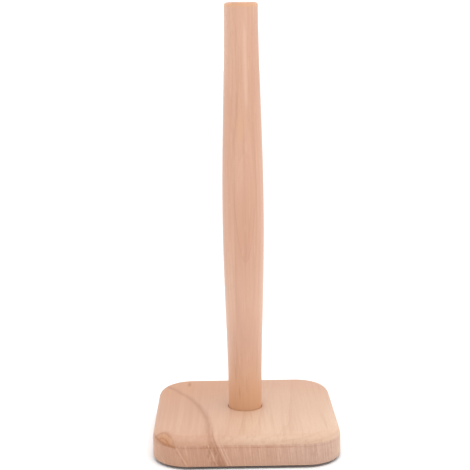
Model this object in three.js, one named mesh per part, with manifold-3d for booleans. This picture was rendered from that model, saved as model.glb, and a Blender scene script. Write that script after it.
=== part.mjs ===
// A free-standing paper towel holder: a wooden base with a turned wooden spindle screwed into it.
// Millimetres, +Z up, front at -Y. The spindle's axis is the Z axis, and the feet stand on z = 0.

import * as THREE from "three";
import { mergeVertices } from "three/addons/utils/BufferGeometryUtils.js";
import Module from "manifold-3d";

const wasm = await Module();
wasm.setup();

// Driving dimensions.
const baseWidth = 140;
const baseTop = 24;
const spindleAboveBase = 310;
const footHeight = 2;
const gap = 0.3; // left between pieces that touch on the real object

// Base block.
const cornerRadius = 27.5;
const topRound = 7.5;
const bottomEase = 0.8;

// Feet, set in from the block's edge.
const footRadius = 7;
const footRound = 0.5;
const footFromCentre = 0.34 * baseWidth;

// Spindle: it swells smoothly from both ends to a belly below its middle.
const spindleTop = baseTop + spindleAboveBase;
const spindleFootRadius = 12.9;
const bellyRadius = 15.85;
const spindleTopRadius = 12.7;
const bellyHeight = baseTop + 150;
const rimRadius = 2;
const footEase = 0.5;

// Seat in the base for the spindle's foot.
const seatDepth = 4;
const seatRadius = spindleFootRadius + gap;
const seatFloor = baseTop - seatDepth;
const spindleBottom = seatFloor + gap;

// M8 stud: machine thread in the insert, plain waist, wood thread in the spindle.
const boltRadius = 3.85;
const machineRoot = 3.25;
const machinePitch = 1.25;
const engagedTurns = 8;
const boltBottom = 7;
const waistLength = 3;
const woodRoot = 2.8;
const woodPitch = 3.2;
const woodTurns = 9;
const woodPoint = 5;
const waistBottom = spindleBottom + 1.5;
const woodStart = waistBottom + waistLength;
const boltTop = woodStart + woodTurns * woodPitch + woodPoint;

// Flanged insert nut for the M8 thread, driven with a 10 mm hex key.
const insertBore = boltRadius + gap;
const insertRoot = 5.7;
const insertRadius = 6.5;
const insertPitch = 2.4;
const insertBottom = boltBottom - 0.5;
const insertFlange = 8.5;
const flangeThickness = 1.4;
const insertTop = seatFloor - 0.2;
const hexAcross = 10;
const threadTop = boltBottom + engagedTurns * machinePitch;

const deg = Math.PI / 180;

// Turns [radius, height] points, listed from the axis below to the axis above with the material on
// their left, into a solid of revolution about Z.
function turned(profile, segments) {
  const points = profile.map(([r, z]) => new THREE.Vector2(r, z));
  return new THREE.LatheGeometry(points, segments).rotateX(Math.PI / 2);
}

// Points of a circular arc in a profile, from one angle to another, in degrees.
function arc(r, z, radius, from, to, steps) {
  const points = [];
  for (let i = 0; i <= steps; i++) {
    const a = (from + ((to - from) * i) / steps) * deg;
    points.push([r + radius * Math.cos(a), z + radius * Math.sin(a)]);
  }
  return points;
}

// Ring-shaped thread ridges between two heights: a stand-in for the helix, which looks the same in
// section and takes far fewer triangles.
function threadRings(root, crest, from, pitch, turns) {
  const points = [];
  for (let i = 0; i < turns; i++) {
    const z = from + i * pitch;
    points.push([root, z + 0.1 * pitch], [crest, z + 0.45 * pitch]);
    points.push([crest, z + 0.55 * pitch], [root, z + 0.9 * pitch]);
  }
  return points;
}

// One level of the block: a square outline with rounded corners, seen from above, anticlockwise.
function roundedSquare(inset, z) {
  const half = baseWidth / 2 - inset;
  const radius = cornerRadius - inset;
  const centre = half - radius;
  const stepsPerCorner = 16;
  const points = [];
  for (let corner = 0; corner < 4; corner++) {
    const middle = (45 + 90 * corner) * deg;
    const cx = Math.sign(Math.cos(middle)) * centre;
    const cy = Math.sign(Math.sin(middle)) * centre;
    for (let i = 0; i <= stepsPerCorner; i++) {
      const a = (90 * corner + (90 * i) / stepsPerCorner) * deg;
      points.push([cx + radius * Math.cos(a), cy + radius * Math.sin(a), z]);
    }
  }
  return points;
}

// A closed solid through outlines of equal length, from the lowest up.
function stacked(levels) {
  const count = levels[0].length;
  const vertices = levels.flat(2);
  const faces = [];
  for (let level = 0; level + 1 < levels.length; level++) {
    for (let i = 0; i < count; i++) {
      const a = level * count + i;
      const b = level * count + ((i + 1) % count);
      faces.push(a, b, b + count, a, b + count, a + count);
    }
  }
  const last = (levels.length - 1) * count;
  for (let i = 1; i + 1 < count; i++) {
    faces.push(0, i + 1, i, last, last + i, last + i + 1);
  }
  const geometry = new THREE.BufferGeometry();
  geometry.setAttribute("position", new THREE.Float32BufferAttribute(vertices, 3));
  geometry.setIndex(faces);
  return geometry;
}

function toManifold(geometry) {
  const bare = new THREE.BufferGeometry();
  bare.setAttribute("position", geometry.getAttribute("position").clone());
  bare.setIndex(geometry.index);
  const merged = mergeVertices(bare, 1e-4);
  const corners = merged.index.array;
  const kept = [];
  for (let i = 0; i < corners.length; i += 3) {
    const [a, b, c] = corners.slice(i, i + 3);
    if (a !== b && b !== c && c !== a) kept.push(a, b, c);
  }
  const mesh = new wasm.Mesh({
    numProp: 3,
    vertProperties: new Float32Array(merged.getAttribute("position").array),
    triVerts: new Uint32Array(kept),
  });
  mesh.merge();
  return new wasm.Manifold(mesh);
}

function subtract(solid, tool) {
  const mesh = toManifold(solid).subtract(toManifold(tool)).getMesh();
  const geometry = new THREE.BufferGeometry();
  geometry.setAttribute("position", new THREE.BufferAttribute(mesh.vertProperties, 3));
  geometry.setIndex(new THREE.BufferAttribute(mesh.triVerts, 1));
  return geometry;
}

function baseBlock() {
  const bottom = footHeight;
  const levels = [roundedSquare(bottomEase, bottom), roundedSquare(0, bottom + bottomEase)];
  for (const [out, z] of arc(0, baseTop - topRound, topRound, 0, 90, 8)) {
    levels.push(roundedSquare(topRound - out, z));
  }
  return stacked(levels);
}

// The seat, the flange's recess below it and the insert's hole below that.
function seatHole() {
  const clearHole = insertRadius + gap;
  const recess = insertFlange + gap;
  const recessFloor = insertTop - flangeThickness - gap;
  const easing = 0.25;
  const profile = [
    [0, insertBottom - 1],
    [clearHole, insertBottom - 1],
    [clearHole, recessFloor],
    [recess, recessFloor],
    [recess, seatFloor],
    [seatRadius, seatFloor],
    [seatRadius, baseTop - easing],
    [seatRadius + easing, baseTop],
    [seatRadius + easing, baseTop + 1],
    [0, baseTop + 1],
  ];
  return turned(profile, 64);
}

function baseGeometry() {
  return subtract(baseBlock(), seatHole());
}

// Half of the swell: a raised cosine from an end's radius to the belly's.
function swell(z) {
  const below = z < bellyHeight;
  const endRadius = below ? spindleFootRadius : spindleTopRadius;
  const end = below ? baseTop : spindleTop;
  const away = (z - bellyHeight) / (end - bellyHeight);
  return endRadius + (bellyRadius - endRadius) * Math.cos((away * Math.PI) / 2) ** 2;
}

function spindleGeometry() {
  const boltHole = boltRadius + gap;
  const profile = [
    [0, boltTop + 2],
    [boltHole, boltTop - woodPoint + 2],
    [boltHole, spindleBottom],
    [spindleFootRadius - footEase, spindleBottom],
    [spindleFootRadius, spindleBottom + footEase],
  ];
  const steps = 26;
  const straightEnd = spindleTop - rimRadius;
  for (let i = 0; i <= steps; i++) {
    const z = baseTop + ((straightEnd - baseTop) * i) / steps;
    profile.push([swell(z), z]);
  }
  profile.push(...arc(spindleTopRadius - rimRadius, straightEnd, rimRadius, 10, 90, 5));
  profile.push([0, spindleTop]);
  return turned(profile, 72);
}

function boltGeometry() {
  const chamfer = 0.6;
  const machineTurns = Math.floor((waistBottom - boltBottom - chamfer) / machinePitch);
  const profile = [
    [0, boltBottom],
    [machineRoot - chamfer, boltBottom],
    [machineRoot, boltBottom + chamfer],
    ...threadRings(machineRoot, boltRadius, boltBottom + chamfer, machinePitch, machineTurns),
    [machineRoot, waistBottom],
    [boltRadius, waistBottom + 0.4],
    [boltRadius, woodStart - 0.4],
    [woodRoot, woodStart],
    ...threadRings(woodRoot, boltRadius, woodStart, woodPitch, woodTurns),
    [woodRoot, boltTop - woodPoint],
    [0, boltTop],
  ];
  return turned(profile, 24);
}

function insertGeometry() {
  const underFlange = insertTop - flangeThickness;
  const turns = Math.floor((underFlange - insertBottom - 0.6) / insertPitch);
  const profile = [
    [insertBore, insertBottom],
    [insertRoot, insertBottom],
    ...threadRings(insertRoot, insertRadius, insertBottom + 0.3, insertPitch, turns),
    [insertRoot, underFlange],
    [insertFlange, underFlange],
    [insertFlange, insertTop - 0.3],
    [insertFlange - 0.3, insertTop],
    [insertBore, insertTop],
    [insertBore, insertBottom],
  ];
  const hexRadius = hexAcross / 2 / Math.cos(30 * deg);
  const driveDepth = insertTop + 1 - threadTop;
  const drive = new THREE.CylinderGeometry(hexRadius, hexRadius, driveDepth, 6);
  drive.rotateX(Math.PI / 2).translate(0, 0, threadTop + driveDepth / 2);
  return subtract(turned(profile, 48), drive);
}

function footGeometry() {
  const top = footHeight - gap;
  const profile = [
    [0, 0],
    ...arc(footRadius - footRound, footRound, footRound, -90, 0, 3),
    [footRadius, top],
    [0, top],
  ];
  return turned(profile, 48);
}

const beech = { color: 0xdcae90, roughness: 0.55, metalness: 0 };
const zincSteel = { color: 0xb9bcc0, roughness: 0.35, metalness: 1 };
const zincAlloy = { color: 0xa9a79f, roughness: 0.45, metalness: 1 };
const darkRubber = { color: 0x2b2624, roughness: 0.85, metalness: 0 };

const holder = new THREE.Group();
holder.name = "paper_towel_holder";

function add(name, geometry, look, x = 0, y = 0) {
  const mesh = new THREE.Mesh(geometry, new THREE.MeshStandardMaterial(look));
  mesh.name = name;
  mesh.position.set(x, y, 0);
  holder.add(mesh);
}

add("base", baseGeometry(), beech);
add("spindle", spindleGeometry(), beech);
add("hanger_bolt", boltGeometry(), zincSteel);
add("threaded_insert", insertGeometry(), zincAlloy);
for (const [end, y] of [["front", -footFromCentre], ["back", footFromCentre]]) {
  for (const [side, x] of [["left", -footFromCentre], ["right", footFromCentre]]) {
    add(`foot_${end}_${side}`, footGeometry(), darkRubber, x, y);
  }
}

export default holder;
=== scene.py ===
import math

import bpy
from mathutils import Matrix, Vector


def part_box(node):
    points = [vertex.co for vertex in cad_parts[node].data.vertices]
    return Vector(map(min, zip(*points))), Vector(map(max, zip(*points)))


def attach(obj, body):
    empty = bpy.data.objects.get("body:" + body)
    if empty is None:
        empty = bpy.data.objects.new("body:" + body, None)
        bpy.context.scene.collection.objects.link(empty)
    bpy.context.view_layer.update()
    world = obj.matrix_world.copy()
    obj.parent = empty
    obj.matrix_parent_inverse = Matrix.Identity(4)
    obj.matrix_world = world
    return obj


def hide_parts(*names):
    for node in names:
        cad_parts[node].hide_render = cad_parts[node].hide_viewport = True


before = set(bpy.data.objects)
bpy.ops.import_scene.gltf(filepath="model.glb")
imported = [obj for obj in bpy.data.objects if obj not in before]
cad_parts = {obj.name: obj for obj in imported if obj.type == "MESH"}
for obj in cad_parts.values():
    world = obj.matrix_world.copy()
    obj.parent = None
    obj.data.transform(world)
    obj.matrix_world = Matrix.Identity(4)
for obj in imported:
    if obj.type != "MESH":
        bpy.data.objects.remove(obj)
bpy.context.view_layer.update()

# Looks of a wooden paper towel holder: a beech block base and a turned beech spindle on an M8 stud.
# Meshes are in metres in the frame's axes. Wood patterns are worked out in millimetres, because
# growth rings, rays and fibres have sizes of their own.

MM = 0.001

# Sizes that the frame gives.
base_low, base_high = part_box("base")
spindle_low, spindle_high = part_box("spindle")
bolt_low, bolt_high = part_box("hanger_bolt")
insert_low, insert_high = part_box("threaded_insert")
BASE_WIDTH = base_high[0] - base_low[0]
BASE_BOTTOM = base_low[2]
BASE_TOP = base_high[2]
BELLY_RADIUS = spindle_high[0]
SPINDLE_BOTTOM = spindle_low[2]
SPINDLE_TOP = spindle_high[2]
BOLT_RADIUS = bolt_high[0]
BOLT_BOTTOM = bolt_low[2]
BOLT_TOP = bolt_high[2]
FLANGE_RADIUS = insert_high[0]
INSERT_BOTTOM = insert_low[2]
INSERT_TOP = insert_high[2]

# Sizes of the same shapes that a box doesn't show.
GAP = 0.3 * MM
CORNER_RADIUS = 27.5 * MM
TOP_ROUND = 7.5 * MM
BOTTOM_EASE = 0.8 * MM
SPINDLE_FOOT_RADIUS = 12.9 * MM
SPINDLE_FOOT_EASE = 0.5 * MM
SPINDLE_TOP_RADIUS = 12.7 * MM
BELLY_HEIGHT = BASE_TOP + 150 * MM
RIM_RADIUS = 2.0 * MM
SEAT_DEPTH = 4.0 * MM
SEAT_RADIUS = SPINDLE_FOOT_RADIUS + GAP
SEAT_EASE = 0.25 * MM
INSERT_RADIUS = 6.5 * MM
INSERT_ROOT = 5.7 * MM
INSERT_PITCH = 2.4 * MM
FLANGE_THICKNESS = 1.4 * MM
HEX_HALF_WIDTH = 5.0 * MM
HEX_DEPTH = 2.8 * MM
MACHINE_ROOT = 3.25 * MM
MACHINE_PITCH = 1.25 * MM
BOLT_CHAMFER = 0.6 * MM
WAIST_BOTTOM = SPINDLE_BOTTOM + 1.5 * MM
WAIST_TOP = WAIST_BOTTOM + 3.0 * MM
WOOD_ROOT = 2.8 * MM
WOOD_PITCH = 3.2 * MM
POINT_LENGTH = 5.0 * MM
METAL_EDGE = 0.3 * MM

# Solids end in a tiny flat of this radius round their axis, and threads start this far from an end.
NEAR_AXIS = 0.1 * MM
THREAD_START = 0.1 * MM

FULL_TURN = 2 * math.pi


# ---------------------------------------------------------------- meshes

def smoothstep(low, high, value):
    t = min(max((value - low) / (high - low), 0.0), 1.0)
    return t * t * (3 - 2 * t)


def skin(name, rings, body, closed=False, sharp_angle=35):
    """A solid through rings of equally many points, riding on a body. It is capped at both ends,
    or joined end to end when closed."""
    count = len(rings[0])
    vertices = [point for ring in rings for point in ring]
    faces = []
    for level in range(len(rings) if closed else len(rings) - 1):
        here = level * count
        there = (level + 1) % len(rings) * count
        for i in range(count):
            j = (i + 1) % count
            faces.append((here + i, here + j, there + j, there + i))
    if not closed:
        last = (len(rings) - 1) * count
        faces.append(tuple(reversed(range(count))))
        faces.append(tuple(range(last, last + count)))
    mesh = bpy.data.meshes.new(name)
    mesh.from_pydata(vertices, [], faces)
    mesh.shade_smooth()
    mesh.set_sharp_from_angle(angle=math.radians(sharp_angle))
    piece = bpy.data.objects.new(name, mesh)
    bpy.context.scene.collection.objects.link(piece)
    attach(piece, body)
    return piece


def circle(radius, z, directions):
    return [(radius * dx, radius * dy, z) for dx, dy in directions]


def even_directions(count):
    turns = [FULL_TURN * i / count for i in range(count)]
    return [(math.cos(turn), math.sin(turn)) for turn in turns]


def rounded_edge(radius, steps, start=0, end=90):
    """Points of a rounded edge, as distances in from its side and in from its flat. The arc runs
    from 0 degrees on the side to 90 on the flat, or between any two angles."""
    angles = [math.radians(start + (end - start) * i / steps) for i in range(steps + 1)]
    return [(radius * (1 - math.cos(a)), radius * (1 - math.sin(a))) for a in angles]


def rounded_square(inset, z):
    """The base's outline at one height, anticlockwise seen from above."""
    arc_steps, edge_steps = 24, 8
    radius = CORNER_RADIUS - inset
    centre = BASE_WIDTH / 2 - CORNER_RADIUS
    points = []
    for corner in range(4):
        middle = math.radians(45 + 90 * corner)
        cx = math.copysign(centre, math.cos(middle))
        cy = math.copysign(centre, math.sin(middle))
        for i in range(arc_steps + 1):
            angle = math.radians(90 * (corner + i / arc_steps))
            points.append((cx + radius * math.cos(angle), cy + radius * math.sin(angle), z))
        heading = math.radians(90 * (corner + 2))
        x, y, _ = points[-1]
        for i in range(1, edge_steps):
            step = 2 * centre * i / edge_steps
            points.append((x + math.cos(heading) * step, y + math.sin(heading) * step, z))
    return points


def build_base():
    """The block with its seat, the recess for the insert's flange and the insert's hole."""
    outline = rounded_square(0, 0)
    directions = [Vector((x, y)).normalized() for x, y, _ in outline]
    hole = INSERT_RADIUS + GAP
    hole_bottom = INSERT_BOTTOM - 1 * MM
    recess = FLANGE_RADIUS + GAP
    recess_floor = INSERT_TOP - FLANGE_THICKNESS - GAP
    seat_floor = BASE_TOP - SEAT_DEPTH
    around_seat = SEAT_RADIUS + 3 * MM
    rings = [
        circle(hole, hole_bottom, directions),
        circle(hole, recess_floor, directions),
        circle(recess, recess_floor, directions),
        circle(recess, seat_floor, directions),
        circle(SEAT_RADIUS, seat_floor, directions),
        circle(SEAT_RADIUS, BASE_TOP - SEAT_EASE, directions),
        circle(SEAT_RADIUS + SEAT_EASE, BASE_TOP, directions),
        circle(around_seat, BASE_TOP, directions),
    ]
    # The cutter left the round slightly short of tangent, which shows as a faint crease.
    shortfall = 14
    for inset, drop in rounded_edge(TOP_ROUND, 16, 90, shortfall):
        rings.append(rounded_square(inset, BASE_TOP - drop))
    rings.append(rounded_square(0, BASE_TOP - TOP_ROUND))
    for inset, rise in rounded_edge(BOTTOM_EASE, 3):
        rings.append(rounded_square(inset, BASE_BOTTOM + rise))
    return skin("base_block", [list(reversed(ring)) for ring in rings], "base", sharp_angle=25)


def swell(z):
    """The spindle's radius: a raised cosine from each end to the belly."""
    below = z < BELLY_HEIGHT
    end_radius = SPINDLE_FOOT_RADIUS if below else SPINDLE_TOP_RADIUS
    end = BASE_TOP if below else SPINDLE_TOP
    away = (z - BELLY_HEIGHT) / (end - BELLY_HEIGHT)
    return end_radius + (BELLY_RADIUS - end_radius) * math.cos(away * math.pi / 2) ** 2


def build_spindle():
    """The upright, with the stud's hole drilled up into its foot."""
    directions = even_directions(128)
    hole = BOLT_RADIUS + GAP
    beyond_bolt = 2 * MM
    profile = [
        (NEAR_AXIS, BOLT_TOP + beyond_bolt),
        (hole, BOLT_TOP - POINT_LENGTH + beyond_bolt),
        (hole, SPINDLE_BOTTOM),
        (SPINDLE_FOOT_RADIUS - SPINDLE_FOOT_EASE, SPINDLE_BOTTOM),
        (SPINDLE_FOOT_RADIUS, SPINDLE_BOTTOM + SPINDLE_FOOT_EASE),
    ]
    levels = 120
    rim_bottom = SPINDLE_TOP - RIM_RADIUS
    for i in range(levels + 1):
        z = BASE_TOP + (rim_bottom - BASE_TOP) * i / levels
        profile.append((swell(z), z))
    # The swell's last point stands in for the rim's first.
    for inset, drop in rounded_edge(RIM_RADIUS, 12)[1:]:
        profile.append((SPINDLE_TOP_RADIUS - inset, SPINDLE_TOP - drop))
    rings = [circle(radius, z, directions) for radius, z in profile]
    return skin("turned_spindle", rings, "spindle")


def thread_radius(root, crest, pitch, z, turn):
    """The radius of a right-hand thread at a height and a fraction of a turn."""
    half_crest, half_ridge = 0.06, 0.36
    phase = (z / pitch - turn) % 1
    ridge = 1 - smoothstep(half_crest, half_ridge, abs(phase - 0.5))
    return root + (crest - root) * ridge


def threaded_ring(root, crest, pitch, z, directions, depth=1.0):
    """One ring of a threaded surface, where depth from 0 to 1 lets the thread run out."""
    count = len(directions)
    points = []
    for i, (dx, dy) in enumerate(directions):
        radius = thread_radius(root, root + (crest - root) * depth, pitch, z, i / count)
        points.append((radius * dx, radius * dy, z))
    return points


def heights(start, end, step):
    """Evenly spaced heights from start that stay short of end, downwards when step is negative."""
    count = math.ceil((end - start) / step)
    return [start + step * i for i in range(count)]


def build_bolt():
    """The stud: machine thread below, plain waist, coarse wood thread and point above."""
    directions = even_directions(64)
    machine_step = MACHINE_PITCH / 12
    wood_step = WOOD_PITCH / 12
    run_out = 1 * MM
    run_in = 2 * MM
    waist_taper = 0.4 * MM
    rings = [circle(MACHINE_ROOT - BOLT_CHAMFER, BOLT_BOTTOM, directions)]
    for z in heights(BOLT_BOTTOM + THREAD_START, WAIST_BOTTOM - METAL_EDGE, machine_step):
        depth = smoothstep(BOLT_BOTTOM, BOLT_BOTTOM + BOLT_CHAMFER, z)
        depth *= 1 - smoothstep(WAIST_BOTTOM - run_out, WAIST_BOTTOM, z)
        rings.append(threaded_ring(MACHINE_ROOT, BOLT_RADIUS, MACHINE_PITCH, z, directions, depth))
    rings += [
        circle(BOLT_RADIUS - METAL_EDGE, WAIST_BOTTOM, directions),
        circle(BOLT_RADIUS, WAIST_BOTTOM + METAL_EDGE, directions),
        circle(BOLT_RADIUS, WAIST_TOP - waist_taper, directions),
    ]
    for z in heights(WAIST_TOP, BOLT_TOP - METAL_EDGE, wood_step):
        taper = min(1.0, (BOLT_TOP - z) / POINT_LENGTH)
        depth = smoothstep(WAIST_TOP, WAIST_TOP + run_in, z)
        root = max(WOOD_ROOT * taper, NEAR_AXIS)
        crest = max(BOLT_RADIUS * taper, NEAR_AXIS)
        rings.append(threaded_ring(root, crest, WOOD_PITCH, z, directions, depth))
    rings.append(circle(NEAR_AXIS, BOLT_TOP, directions))
    return skin("m8_hanger_bolt", rings, "stud", sharp_angle=50)


def hexagon(half_width, z, directions):
    """The points of a hexagon's outline that lie in these directions from its middle."""
    points = []
    for dx, dy in directions:
        sector = math.atan2(dy, dx) % math.radians(60) - math.radians(30)
        radius = half_width / math.cos(sector)
        points.append((radius * dx, radius * dy, z))
    return points


def build_insert():
    """The nut: coarse thread outside, M8 thread inside, flange and hexagon drive above."""
    directions = even_directions(72)
    outer_step = INSERT_PITCH / 10
    inner_step = MACHINE_PITCH / 10
    run_out = 1.5 * MM
    bore = BOLT_RADIUS + GAP
    inner_thread_root = bore + 0.35 * MM
    flange_bottom = INSERT_TOP - FLANGE_THICKNESS
    hex_floor = INSERT_TOP - HEX_DEPTH
    inner_thread_top = hex_floor - 0.05 * MM
    rings = [circle(INSERT_ROOT, INSERT_BOTTOM, directions)]
    for z in heights(INSERT_BOTTOM + THREAD_START, flange_bottom, outer_step):
        depth = smoothstep(INSERT_BOTTOM, INSERT_BOTTOM + run_out, z)
        depth *= 1 - smoothstep(flange_bottom - run_out, flange_bottom, z)
        rings.append(threaded_ring(INSERT_ROOT, INSERT_RADIUS, INSERT_PITCH, z, directions, depth))
    rings += [
        circle(INSERT_ROOT, flange_bottom, directions),
        circle(FLANGE_RADIUS, flange_bottom, directions),
        circle(FLANGE_RADIUS, INSERT_TOP - METAL_EDGE, directions),
        circle(FLANGE_RADIUS - METAL_EDGE, INSERT_TOP, directions),
        hexagon(HEX_HALF_WIDTH, INSERT_TOP, directions),
        hexagon(HEX_HALF_WIDTH, hex_floor, directions),
    ]
    for z in heights(inner_thread_top, INSERT_BOTTOM, -inner_step):
        rings.append(threaded_ring(bore, inner_thread_root, MACHINE_PITCH, z, directions))
    return skin("m8_insert_nut", rings, "base", closed=True)


def build_foot(node):
    """A moulded pad with rounded rims and a shallow ring pressed into its underside."""
    low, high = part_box(node)
    cx, cy = (low[0] + high[0]) / 2, (low[1] + high[1]) / 2
    radius = (high[0] - low[0]) / 2
    lower_rim, upper_rim = 0.5 * MM, 0.3 * MM
    groove, groove_width, groove_depth = 0.62 * radius, 0.8 * MM, 0.35 * MM
    profile = [
        (NEAR_AXIS, low[2]),
        (groove - groove_width, low[2]),
        (groove - groove_width / 2, low[2] + groove_depth),
        (groove + groove_width / 2, low[2] + groove_depth),
        (groove + groove_width, low[2]),
    ]
    profile += [(radius - inset, low[2] + rise) for inset, rise in rounded_edge(lower_rim, 4, 90, 0)]
    profile += [(radius - inset, high[2] - drop) for inset, drop in rounded_edge(upper_rim, 4)]
    profile.append((NEAR_AXIS, high[2]))
    directions = even_directions(64)
    rings = [[(cx + x, cy + y, z) for x, y, z in circle(r, z, directions)] for r, z in profile]
    return skin(node + "_pad", rings, "base")


# ---------------------------------------------------------------- material nodes

class Nodes:
    """A node tree, with short calls for the nodes that the looks are made of."""

    def __init__(self, tree):
        self.tree = tree

    def node(self, kind, inputs=(), **settings):
        node = self.tree.nodes.new("ShaderNode" + kind)
        for key, value in settings.items():
            setattr(node, key, value)
        for socket, value in inputs:
            self.feed(node.inputs[socket], value)
        return node

    def feed(self, socket, value):
        if isinstance(value, Field):
            value = value.socket
        if isinstance(value, bpy.types.NodeSocket):
            self.tree.links.new(value, socket)
        else:
            socket.default_value = value

    def split(self, vector):
        parts = self.node("SeparateXYZ", [(0, vector)])
        return [Field(self, part) for part in parts.outputs]

    def noise(self, point, scale, detail=2.0, roughness=0.5, seed=0.0):
        """Smooth noise from 0 to 1, with one scale per direction in cycles per millimetre. Each
        seed reads the noise at another place."""
        joined = self.node("CombineXYZ", list(enumerate(point)))
        scaled = self.node("VectorMath", [(0, joined.outputs[0]), (1, scale)], operation="MULTIPLY")
        moved = self.node("VectorMath", [(0, scaled.outputs[0]), (1, (seed, seed * 1.7, -seed))])
        noise = self.node("TexNoise", [
            ("Vector", moved.outputs[0]),
            ("Scale", 1.0),
            ("Detail", detail),
            ("Roughness", roughness),
        ])
        return Field(self, noise.outputs[0])

    def mix(self, share, colour, other):
        """colour where share is 0, other where it is 1."""
        node = self.node("Mix", data_type="RGBA")
        self.feed(node.inputs["Factor"], share)
        # The colour sockets come after those for numbers and vectors, which have the same names.
        self.feed(node.inputs[6], colour)
        self.feed(node.inputs[7], other)
        return node.outputs[2]


class Shader(Nodes):
    """A new material and its nodes."""

    def __init__(self, name):
        self.material = bpy.data.materials.new(name)
        self.material.use_nodes = True
        super().__init__(self.material.node_tree)
        self.surface = self.tree.nodes["Principled BSDF"]

    def place(self):
        """The surface point's x, y and z in the row frame, in millimetres."""
        coordinates = self.node("TexCoord").outputs["Object"]
        return [part * 1000 for part in self.split(coordinates)]

    def facing(self):
        """How squarely the surface faces along x, y and z, each from -1 to 1."""
        return self.split(self.node("NewGeometry").outputs["True Normal"])

    def finish(self, colour, roughness, height, depth_mm):
        """The material with its colour and roughness, and relief as deep as depth_mm."""
        self.feed(self.surface.inputs["Base Color"], colour)
        self.feed(self.surface.inputs["Roughness"], roughness)
        bump = self.node("Bump", [("Height", height), ("Strength", 1.0), ("Distance", depth_mm * MM)])
        self.feed(self.surface.inputs["Normal"], bump.outputs[0])
        return self.material


class Field:
    """A number that varies over a surface. Its arithmetic adds Math nodes."""

    def __init__(self, shader, socket):
        self.shader = shader
        self.socket = socket

    def math(self, operation, *others):
        node = self.shader.node("Math", list(enumerate([self, *others])), operation=operation)
        return Field(self.shader, node.outputs[0])

    def __add__(self, other):
        return self.math("ADD", other)

    def __sub__(self, other):
        return self.math("SUBTRACT", other)

    def __mul__(self, other):
        return self.math("MULTIPLY", other)

    def __truediv__(self, other):
        return self.math("DIVIDE", other)

    def __neg__(self):
        return self * -1

    def __pow__(self, other):
        return self.math("POWER", other)

    def size(self):
        return self.math("ABSOLUTE")

    def above_zero(self):
        return self.math("MAXIMUM", 0.0)

    def step(self, off, on):
        """0 from off outwards, 1 from on outwards and smooth between, whichever is the larger."""
        inputs = [("Value", self), ("From Min", off), ("From Max", on)]
        node = self.shader.node("MapRange", inputs, interpolation_type="SMOOTHSTEP")
        return Field(self.shader, node.outputs[0])

    def peak(self, middle, width):
        """1 where the value is middle, falling smoothly to 0 at width either side."""
        return -(self - middle).size().step(0, width) + 1


def distance(shader, *parts):
    """The length of a vector that has these parts."""
    joined = shader.node("CombineXYZ", list(enumerate(parts)))
    length = shader.node("VectorMath", [(0, joined.outputs[0])], operation="LENGTH")
    return Field(shader, length.outputs["Value"])


class Timber:
    """Solid beech, sawn from a log whose pith runs along the grain at some distance.

    Every pattern is a function of where a point lay in the log: round the log, out from its pith
    and along it. So it shows as long lines on the sides and as rings and rays on the end grain."""

    def __init__(self, shader, across, along, pith, taper, ring_width, seed):
        self.shader = shader
        self.seed = seed
        a, b = across
        wander = shader.noise([a, b, along], (0.02, 0.02, 0.006), 1, seed=seed) - 0.5
        flutter = shader.noise([a, b, along], (0.12, 0.12, 0.02), 1, seed=seed + 5) - 0.5
        out_a = a - pith[0]
        out_b = b - pith[1]
        log_radius = math.hypot(*pith)
        self.out = distance(shader, out_a, out_b) + wander * 7 + flutter * 0.8 + along * taper
        self.round = out_a.math("ARCTAN2", out_b) * log_radius + wander * 3
        self.along = along
        self.ring_width = ring_width

    def noise(self, scale, detail=2.0, seed=0.0):
        """Noise with scales round the log, out from the pith and along it."""
        point = [self.round, self.out, self.along]
        return self.shader.noise(point, scale, detail, seed=self.seed + seed)

    def rings(self):
        """Growth rings: slowly darker outwards, then sharply light again."""
        turn = (self.out / self.ring_width).math("FRACT")
        late = turn ** 4
        onset = turn.step(0.0, 0.08)
        uneven = self.noise((0.05, 0.2, 0.004), 1, 11).step(0.3, 0.7)
        return late * onset * uneven

    def rays(self):
        """Medullary rays: thin sheets that run out from the pith, seen as short flecks on the
        flat-sawn faces and as fine light lines on end grain."""
        return self.noise((2.2, 0.07, 0.30), 1, 23).step(0.60, 0.74)

    def broad_rays(self):
        """The few rays that are wide and long enough to see one by one."""
        return self.noise((0.75, 0.03, 0.05), 1, 31).step(0.62, 0.74)

    def fibres(self):
        """Fine lines along the grain."""
        return self.noise((2.6, 2.6, 0.035), 3, 41)

    def streaks(self):
        """Soft bands along the grain, a few millimetres wide."""
        return self.noise((0.45, 0.45, 0.006), 2, 53)

    def tone(self):
        """Slow changes in how dark the wood is."""
        return self.noise((0.025, 0.025, 0.006), 2, 61).step(0.3, 0.7)

    def relief(self, fibres):
        """The height of the grain that the finish has raised, from 0 to about 1."""
        return fibres * 0.6 + self.rays() * 0.4 + self.rings() * 0.4


# ---------------------------------------------------------------- materials

# Colours are linear. Beech:
SAPWOOD = (0.575, 0.382, 0.268, 1)
HEARTWOOD_AND_SHADE = (0.488, 0.266, 0.170, 1)
PALE_SAPWOOD_AND_LIGHT = (0.640, 0.448, 0.322, 1)
SPINDLE_LIGHT = (0.656, 0.402, 0.280, 1)
SPINDLE_DARK = (0.552, 0.292, 0.194, 1)
LATEWOOD = (0.430, 0.230, 0.140, 1)
RAY_DARK = (0.460, 0.260, 0.165, 1)
RAY_PALE_AND_HIGHLIGHT = (0.720, 0.500, 0.380, 1)
RED_STREAK = (0.310, 0.135, 0.070, 1)
KNOT_BROWN_AND_SHADE = (0.340, 0.135, 0.055, 1)
KNOT_ORANGE_AND_SHADE = (0.470, 0.220, 0.100, 1)
END_SAPWOOD = (0.540, 0.318, 0.222, 1)
END_HEARTWOOD = (0.485, 0.263, 0.172, 1)
END_DARK = (0.390, 0.200, 0.130, 1)
END_GREY = (0.500, 0.345, 0.275, 1)
# Curled grain, and painted light on the spindle's foot and rim:
WARM_GRAIN_AND_BOUNCE_ORANGE = (0.640, 0.345, 0.180, 1)
# Painted shade for the base's underside and the lowest part of its eased edge:
UNDERSIDE_SHADE_BROWN = (0.150, 0.058, 0.036, 1)

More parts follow.
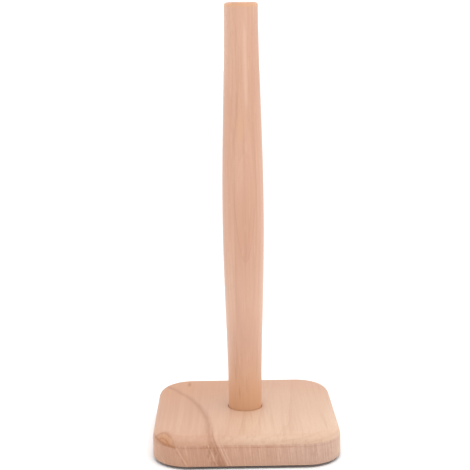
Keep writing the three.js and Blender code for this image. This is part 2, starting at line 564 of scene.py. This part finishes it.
# Metal, rubber and floor:
ZINC_BLUISH = (0.62, 0.64, 0.68, 1)
ZINC_YELLOWISH = (0.70, 0.66, 0.56, 1)
THREAD_SHADOW = (0.25, 0.24, 0.23, 1)
CAST_GREY = (0.46, 0.46, 0.45, 1)
CAST_DULL = (0.38, 0.37, 0.36, 1)
CAST_BRIGHT = (0.62, 0.61, 0.58, 1)
RUBBER_DARK = (0.022, 0.018, 0.016, 1)
RUBBER_WORN = (0.040, 0.033, 0.030, 1)
DUST = (0.16, 0.13, 0.11, 1)
FLOOR_WHITE = (0.92, 0.91, 0.91, 1)

# Places of the marks in the wood and of the spindle's painted highlight stripe, in millimetres: x, y
# and z of the corner knot, x and y of the pin knot, x and z of the others. The corner knot's heading
# is in degrees.
CORNER_KNOT = (-60.0, -59.5, 17.6)
CORNER_KNOT_HEADING = 48
PIN_KNOT = (-45.3, 54.0)
CRACK_TOP = (-51.7, 16.5)
FLAME_TIP = (1.1, 141.5)
HIGHLIGHT_STRIPE = (2.4, 288.0)
CURL = (-1.9, 242.0)

# Mineral streaks on the spindle's front: x and z of the lower end, length, strength.
MINERAL_STREAKS = (
    (-4.1, 30, 17, 0.34),
    (-6.9, 44, 20, 0.22),
    (1.4, 36, 18, 0.16),
)


def heart_line(shader, colour, beside, from_front, depth, end, grain):
    """The edge of the red heartwood: a soft dark band along the top, which parts near the front
    into fine lines and ends in a reddish mottle on the end grain."""
    near_front = from_front.step(26, 4)
    patch = grain.step(0.35, 0.6)
    colour = shader.mix(beside.peak(-0.5, 4.6) * 0.38, colour, RED_STREAK)
    colour = shader.mix(beside.peak(-1.0, 1.5) * (patch * 0.28 + 0.08), colour, KNOT_BROWN_AND_SHADE)
    right_line = beside.peak(1.6, 1.0) * near_front * 0.60
    left_line = beside.peak(-2.6, 0.8) * near_front * patch * 0.40
    end_lines = (beside.peak(-7.4, 0.9) + beside.peak(-5.0, 0.7)) * end * patch * 0.55
    colour = shader.mix(right_line + left_line + end_lines, colour, KNOT_BROWN_AND_SHADE)
    flecks = beside.peak(4.0, 0.8) + beside.peak(6.2, 0.7) + beside.peak(-3.8, 0.7)
    colour = shader.mix(flecks * end * 0.38, colour, RAY_PALE_AND_HIGHLIGHT)
    mottle = grain.step(0.42, 0.60) * beside.peak(-3.2, 8.5) * end * depth.step(4, 9)
    return shader.mix(mottle * 0.60, colour, RED_STREAK)


def corner_knot(shader, colour, x, y, z, grain):
    """A knot cut lengthways by the round of the left front corner: an orange half ring with dark
    lines, over a dark lower edge that runs along the corner."""
    right, back, up = (here - knot for here, knot in zip((x, y, z), CORNER_KNOT))
    heading = math.radians(CORNER_KNOT_HEADING)
    along = right * math.cos(heading) - back * math.sin(heading)
    inward = right * math.sin(heading) + back * math.cos(heading)
    wobble = (grain - 0.5) * 1.5
    above = up + along * 0.12 + wobble
    ring = distance(shader, (along - 1.2 + wobble) / 9.6, above / 6.0)
    on_round = inward.step(8, 4)
    upper = above.step(-0.8, 0.4) * on_round
    patch = grain.step(0.30, 0.60)
    colour = shader.mix(ring.step(1.1, 0.7) * upper * (patch * 0.35 + 0.50), colour, KNOT_ORANGE_AND_SHADE)
    colour = shader.mix(ring.peak(1.0, 0.16) * upper * (patch * 0.35 + 0.28), colour, KNOT_BROWN_AND_SHADE)
    colour = shader.mix(ring.peak(0.55, 0.15) * upper * (patch * 0.5 + 0.22), colour, KNOT_BROWN_AND_SHADE)
    reach = along.peak(-1, 15).step(0.0, 0.35) * on_round
    return shader.mix(above.peak(0.4, 1.9) * reach * (patch * 0.25 + 0.60), colour, KNOT_BROWN_AND_SHADE)


def knot_crack(shader, colour, x, y, z, grain):
    """A fine crack that goes on from the corner knot's tip and slants down the front."""
    top_x, top_z = CRACK_TOP
    beside = x - top_x + (z - top_z) * 0.57 + (grain - 0.5) * 1.2
    on_front = y.step(-66, -68) * z.step(18.0, 15.5)
    patch = grain.step(0.30, 0.60)
    colour = shader.mix(beside.peak(0, 1.4) * on_front * 0.22, colour, RAY_PALE_AND_HIGHLIGHT)
    colour = shader.mix(beside.peak(1.6, 1.2) * on_front * 0.5, colour, KNOT_ORANGE_AND_SHADE)
    return shader.mix(beside.peak(-1.5, 0.8) * on_front * patch * 0.6, colour, KNOT_BROWN_AND_SHADE)


def pin_knot(shader, colour, x, y):
    """A pin knot near the back edge, drawn out along the grain."""
    knot_x, knot_y = PIN_KNOT
    ring = distance(shader, (x - knot_x) / 2.3, (y - knot_y) / 8.5)
    colour = shader.mix(ring.step(1.3, 0.3) * 0.75, colour, KNOT_ORANGE_AND_SHADE)
    return shader.mix(ring.step(0.8, 0.2) * 0.80, colour, KNOT_BROWN_AND_SHADE)


def end_grain(shader, wood, heart, x, z):
    """End grain drinks the finish: darker, finely lined, with a few broad pale rays."""
    lines = shader.noise([x + z * 0.10, z, 0.0], (1.05, 0.035, 1.0), 2, 0.6, seed=27.0)
    colour = shader.mix(heart, END_SAPWOOD, END_HEARTWOOD)
    colour = shader.mix(x.step(0, 72) * 0.8, colour, END_GREY)
    colour = shader.mix(lines.step(0.48, 0.60) * 0.32, colour, END_DARK)
    colour = shader.mix(lines.step(0.46, 0.34) * 0.22, colour, RAY_PALE_AND_HIGHLIGHT)
    colour = shader.mix(wood.streaks().step(0.45, 0.75) * 0.25, colour, END_DARK)
    few = wood.noise((0.05, 0.02, 0.01), 1, 71).step(0.50, 0.62)
    return shader.mix(wood.broad_rays() * (few * 0.34 + 0.04), colour, RAY_PALE_AND_HIGHLIGHT)


def long_grain(shader, wood, heart, x, from_front):
    """The base's top and sides: pink sapwood that turns redder towards the heart, with painted light
    and shade: paler towards the front, darker and redder towards the back, and a painted orange
    shadow of the spindle behind it on the left.
    """
    colour = shader.mix(heart, SAPWOOD, HEARTWOOD_AND_SHADE)
    # Painted light: the top turns paler towards the front.
    colour = shader.mix(from_front.step(70, 20) * (-heart * 0.72 + 1) * 0.5, colour, PALE_SAPWOOD_AND_LIGHT)
    # Painted shade: darker and redder towards the back, where less light falls.
    colour = shader.mix(from_front.step(50, 140) * 0.80, colour, HEARTWOOD_AND_SHADE)
    # Painted shadow: orange-brown behind the spindle on the left, where its shadow falls.
    colour = shader.mix(from_front.step(60, 115) * x.step(25, -20) * 0.60, colour, KNOT_ORANGE_AND_SHADE)
    colour = shader.mix(wood.tone() * 0.25, colour, HEARTWOOD_AND_SHADE)
    colour = shader.mix(wood.streaks().step(0.45, 0.8) * (heart * 0.06 + 0.34), colour, LATEWOOD)
    colour = shader.mix(wood.streaks().step(0.50, 0.30) * heart * 0.12, colour, PALE_SAPWOOD_AND_LIGHT)
    colour = shader.mix(wood.rings() * 0.30, colour, LATEWOOD)
    return shader.mix(wood.rays() * 0.30, colour, RAY_DARK)


def base_end_grain(shader):
    """1 on the base's front and back, 0 on its left, right, top and underside."""
    facing_x, facing_y, facing_z = shader.facing()
    sideways = facing_z.size().step(0.28, 0.10)
    never_zero = 0.001
    squarely = facing_y.size() / (facing_x.size() + facing_y.size() + never_zero)
    return squarely.step(0.12, 0.65) * sideways


def base_wood():
    shader = Shader("beech_base")
    x, y, z = shader.place()
    wood = Timber(shader, (x, z), y, pith=(72, -221), taper=0.02, ring_width=3.4, seed=3.0)
    end = base_end_grain(shader)
    from_front = (y + BASE_WIDTH / MM / 2).above_zero()
    depth = -z + BASE_TOP / MM
    grain = shader.noise([x, y, z], (0.45, 0.10, 0.16), 3, seed=17.0)
    waver = shader.noise([x, y, z], (0.06, 0.05, 0.05), 2, seed=7.0) - 0.5
    fibres = wood.fibres()

    # Red heartwood lies to the left of a curved sheet that leans to the right as it goes down.
    edge_at_front, curve, lean = -27, 0.000225, 0.4
    heart_edge = -(from_front ** 2.5) * curve + edge_at_front + depth * lean
    beside = x - heart_edge + waver * 3
    heart = -beside.step(-3, 46) * 0.66 - beside.step(-2.5, 2.5) * 0.34 + 1

    colour = long_grain(shader, wood, heart, x, from_front)
    colour = shader.mix(end, colour, end_grain(shader, wood, heart, x, z))
    colour = heart_line(shader, colour, beside, from_front, depth, end, grain)
    colour = corner_knot(shader, colour, x, y, z, grain)
    colour = knot_crack(shader, colour, x, y, z, grain)
    colour = pin_knot(shader, colour, x, y)
    colour = shader.mix(fibres.step(0.45, 0.75) * 0.18, colour, LATEWOOD)

    # Painted shade: the crease where the round meets the sides is darker in places.
    crease = z.peak((BASE_TOP - TOP_ROUND) / MM, 0.9)
    in_places = grain.step(0.35, 0.65) * end * x.step(60, 10)
    colour = shader.mix(crease * (in_places * 0.5 + 0.15), colour, KNOT_BROWN_AND_SHADE)

    # Painted shade: a warm orange ring round the seat, where the crevice between base and spindle
    # lies in shade.
    joint_shade = distance(shader, x, y).step(SEAT_RADIUS / MM + 1.8, SEAT_RADIUS / MM)
    colour = shader.mix(joint_shade * 0.85, colour, KNOT_ORANGE_AND_SHADE)

    # Painted shade: the underside is dark brown up to the lowest part of the eased edge, standing in
    # for the shade in the gap under the block.
    shade_top = (BASE_BOTTOM + 0.45 * BOTTOM_EASE) / MM
    full_shade_top = (BASE_BOTTOM + 0.1 * BOTTOM_EASE) / MM
    underside = z.step(shade_top, full_shade_top)
    grain_in_shade = fibres.step(0.45, 0.75) * 0.16 + wood.streaks().step(0.4, 0.8) * 0.12
    colour = shader.mix(underside * (-grain_in_shade + 0.98), colour, UNDERSIDE_SHADE_BROWN)

    roughness = fibres * 0.14 + 0.44 + end * 0.10 + underside * 0.2
    return shader.finish(colour, roughness, wood.relief(fibres), 0.05)


def growth_flame(shader, colour, x, z, front):
    """The cut through one growth ring, which leaves a narrow flame pointing down."""
    tip_x, tip_z = FLAME_TIP
    above = z - tip_z
    half_width = above.above_zero() ** 0.5 * 1.2
    outside = (x - tip_x).size() - half_width
    reach = above.step(-1, 1) * above.step(75, 30) * front
    colour = shader.mix(outside.step(0.5, -0.5) * reach * 0.12, colour, KNOT_ORANGE_AND_SHADE)
    return shader.mix(outside.peak(0, 0.6) * reach * 0.34, colour, LATEWOOD)


def warm_ends_with_painted_light(shader, colour, z):
    """Painted light: the spindle's lower end turns orange, standing in for light bounced up from the
    base. The band at the rim is partly the end grain's warmer colour, partly painted light where the
    round catches light from above.
    """
    from_base = z - BASE_TOP / MM
    from_rim = z - (SPINDLE_TOP - RIM_RADIUS) / MM
    # Painted bounce light from the base on the lower end.
    colour = shader.mix(from_base.step(60, 0) * 0.75, colour, WARM_GRAIN_AND_BOUNCE_ORANGE)
    return shader.mix(from_rim.step(-1.9, -0.9) * from_rim.step(1.2, 0.4) * 0.8, colour, WARM_GRAIN_AND_BOUNCE_ORANGE)


def spindle_marks(shader, colour, x, z, front):
    """A painted highlight stripe and a burl of curled grain high on the front, mineral streaks near
    the foot.
    """
    # Painted highlight: a pale vertical stripe high on the front.
    stripe_x, stripe_z = HIGHLIGHT_STRIPE
    across = x - stripe_x + (z - stripe_z) * 0.017
    stripe = across.peak(0, 2.2) * z.peak(stripe_z, 40).step(0, 0.4)
    colour = shader.mix(stripe * front * 0.30, colour, RAY_PALE_AND_HIGHLIGHT)
    curl_x, curl_z = CURL
    curl = distance(shader, (x - curl_x) / 3.4, (z - curl_z) / 11).step(1.2, 0.3)
    colour = shader.mix(curl * front * 0.30, colour, WARM_GRAIN_AND_BOUNCE_ORANGE)
    for low_x, low_z, length, strength in MINERAL_STREAKS:
        across = x - low_x + (z - low_z) * 0.03
        streak = across.peak(0, 0.9) * z.peak(low_z + length / 2, length / 2)
        colour = shader.mix(streak * front * strength, colour, KNOT_BROWN_AND_SHADE)
    return colour


def spindle_wood():
    shader = Shader("beech_spindle")
    x, y, z = shader.place()
    wood = Timber(shader, (x, y), z, pith=(-7, 88.5), taper=0.014, ring_width=1.9, seed=9.0)
    end = shader.facing()[2].step(0.55, 0.95)
    front = y.step(0, -4)
    fibres = wood.fibres()

    colour = shader.mix(wood.tone() * 0.5 + 0.4, SPINDLE_LIGHT, SPINDLE_DARK)
    colour = shader.mix(wood.streaks().step(0.45, 0.8) * 0.34, colour, LATEWOOD)
    colour = shader.mix(wood.rings() * 0.30, colour, LATEWOOD)
    colour = shader.mix(wood.rays() * 0.26, colour, RAY_DARK)
    colour = shader.mix(wood.broad_rays() * 0.16, colour, RAY_PALE_AND_HIGHLIGHT)

    # Warmer high up, paler below the belly.
    colour = shader.mix(z.peak(255, 65) * 0.13, colour, KNOT_ORANGE_AND_SHADE)
    colour = shader.mix(z.peak(110, 50) * 0.16, colour, RAY_PALE_AND_HIGHLIGHT)

    colour = growth_flame(shader, colour, x, z, front)
    colour = warm_ends_with_painted_light(shader, colour, z)
    colour = spindle_marks(shader, colour, x, z, front)
    colour = shader.mix(fibres.step(0.45, 0.75) * 0.14, colour, LATEWOOD)
    colour = shader.mix(end * 0.6, colour, END_SAPWOOD)

    shader.surface.inputs["Coat Weight"].default_value = 0.4
    shader.surface.inputs["Coat Roughness"].default_value = 0.25
    roughness = fibres * 0.14 + 0.42 + end * 0.12
    return shader.finish(colour, roughness, wood.relief(fibres), 0.04)


def plated_steel():
    """Bright zinc plating with faint blue and yellow tints, darker in the thread's roots with painted
    shade.
    """
    shader = Shader("zinc_plated_steel")
    x, y, z = shader.place()
    tint = shader.noise([x, y, z], (0.25, 0.25, 0.12), 3, seed=2.0).step(0.35, 0.65)
    grain = shader.noise([x, y, z], (3.0, 3.0, 9.0), 3, seed=4.0)
    root = distance(shader, x, y).step(BOLT_RADIUS / MM - 0.1, WOOD_ROOT / MM)
    colour = shader.mix(tint, ZINC_BLUISH, ZINC_YELLOWISH)
    colour = shader.mix(root * 0.45, colour, THREAD_SHADOW)
    shader.surface.inputs["Metallic"].default_value = 1.0
    return shader.finish(colour, grain * 0.2 + 0.24, grain, 0.01)


def cast_zinc():
    """Die-cast zinc alloy: grey, slightly grainy and brighter towards the flange's rim."""
    shader = Shader("zinc_alloy")
    x, y, z = shader.place()
    grain = shader.noise([x, y, z], (2.0, 2.0, 2.0), 4, seed=6.0)
    blotch = shader.noise([x, y, z], (0.3, 0.3, 0.3), 2, seed=8.0).step(0.3, 0.7)
    rim = distance(shader, x, y).step(7.6, 8.5)
    colour = shader.mix(blotch, CAST_GREY, CAST_DULL)
    colour = shader.mix(rim * 0.5, colour, CAST_BRIGHT)
    shader.surface.inputs["Metallic"].default_value = 1.0
    return shader.finish(colour, grain * 0.25 + 0.34, grain, 0.03)


def foot_rubber():
    """Dark grey-brown rubber with a fine moulded texture and a little dust."""
    shader = Shader("dark_rubber")
    x, y, z = shader.place()
    pebble = shader.noise([x, y, z], (3.2, 3.2, 3.2), 2, seed=12.0)
    dust = shader.noise([x, y, z], (0.35, 0.35, 0.35), 3, seed=14.0).step(0.5, 0.75)
    colour = shader.mix(pebble.step(0.4, 0.7) * 0.5, RUBBER_DARK, RUBBER_WORN)
    colour = shader.mix(dust * 0.25, colour, DUST)
    return shader.finish(colour, pebble * 0.15 + 0.68, pebble, 0.06)


# ---------------------------------------------------------------- the object

def dress(piece, node, material):
    piece.data.materials.append(material)
    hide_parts(node)


dress(build_base(), "base", base_wood())
dress(build_spindle(), "spindle", spindle_wood())
dress(build_bolt(), "hanger_bolt", plated_steel())
dress(build_insert(), "threaded_insert", cast_zinc())
rubber = foot_rubber()
for end_name in ("front", "back"):
    for side_name in ("left", "right"):
        foot = f"foot_{end_name}_{side_name}"
        dress(build_foot(foot), foot, rubber)


# ---------------------------------------------------------------- floor, light and camera

def build_floor():
    """A wide pale floor, a hair below the feet so that the two surfaces don't coincide."""
    half = 12.0
    z = -0.1 * MM
    corners = [(-half, -half, z), (half, -half, z), (half, half, z), (-half, half, z)]
    mesh = bpy.data.meshes.new("floor")
    mesh.from_pydata(corners, [], [(0, 1, 2, 3)])
    floor = bpy.data.objects.new("floor", mesh)
    bpy.context.scene.collection.objects.link(floor)
    shader = Shader("white_floor")
    shader.surface.inputs["Base Color"].default_value = FLOOR_WHITE
    shader.surface.inputs["Roughness"].default_value = 0.9
    shader.surface.inputs["Specular IOR Level"].default_value = 0.1
    mesh.materials.append(shader.material)


def soft_light(name, place, target, size, power):
    """A round lamp aimed at a target, with its size in metres and its power in watts."""
    light = bpy.data.lights.new(name, "AREA")
    light.shape = "DISK"
    light.size = size
    light.energy = power
    lamp = bpy.data.objects.new(name, light)
    lamp.location = place
    lamp.rotation_euler = (Vector(target) - Vector(place)).to_track_quat("-Z", "Y").to_euler()
    bpy.context.scene.collection.objects.link(lamp)


def light_room():
    """A white studio, dimmer in front above the photographer's head. The dim patch only shapes the
    light: the background that the camera sees is white all round."""
    full_strength, dimmed_by = 1.3, 0.88
    world = bpy.data.worlds.new("white_room")
    world.use_nodes = True
    room = Nodes(world.node_tree)
    background = world.node_tree.nodes["Background"]
    background.inputs["Color"].default_value = (1, 1, 1, 1)
    _, y, z = room.split(room.node("TexCoord").outputs["Generated"])
    patch = y.step(-0.05, -0.65) * z.step(0.20, 0.32) * z.step(0.85, 0.60)
    seen = Field(room, room.node("LightPath").outputs["Is Camera Ray"])
    room.feed(background.inputs["Strength"], patch * (seen - 1) * dimmed_by + full_strength)
    bpy.context.scene.world = world
    bpy.context.scene.view_settings.view_transform = "Standard"
    soft_light("key", place=(0.4, -0.85, 2.7), target=(0, 0, 0.1), size=2.4, power=30.0)
    soft_light("low_fill", place=(0.75, -1.5, 0.50), target=(0, 0, 0.28), size=0.42, power=1.0)


def place_camera():
    """The viewpoint: about 0.8 m in front, just below the spindle's top, looking slightly down."""
    position = Vector((-15.2, -799.7, 302.9)) * MM
    yaw, pitch, roll = math.radians(-0.63), math.radians(10.12), math.radians(-0.72)
    forward = Vector((
        -math.sin(yaw) * math.cos(pitch),
        math.cos(yaw) * math.cos(pitch),
        -math.sin(pitch),
    ))
    level = Vector((math.cos(yaw), math.sin(yaw), 0))
    upright = level.cross(forward)
    right = math.cos(roll) * level + math.sin(roll) * upright
    up = right.cross(forward)
    data = bpy.data.cameras.new("camera")
    data.sensor_width = 36
    data.lens = 81.45
    camera = bpy.data.objects.new("camera", data)
    turn = Matrix((right, up, -forward)).transposed().to_4x4()
    camera.matrix_world = Matrix.Translation(position) @ turn
    bpy.context.scene.collection.objects.link(camera)
    bpy.context.scene.camera = camera


build_floor()
light_room()
place_camera()
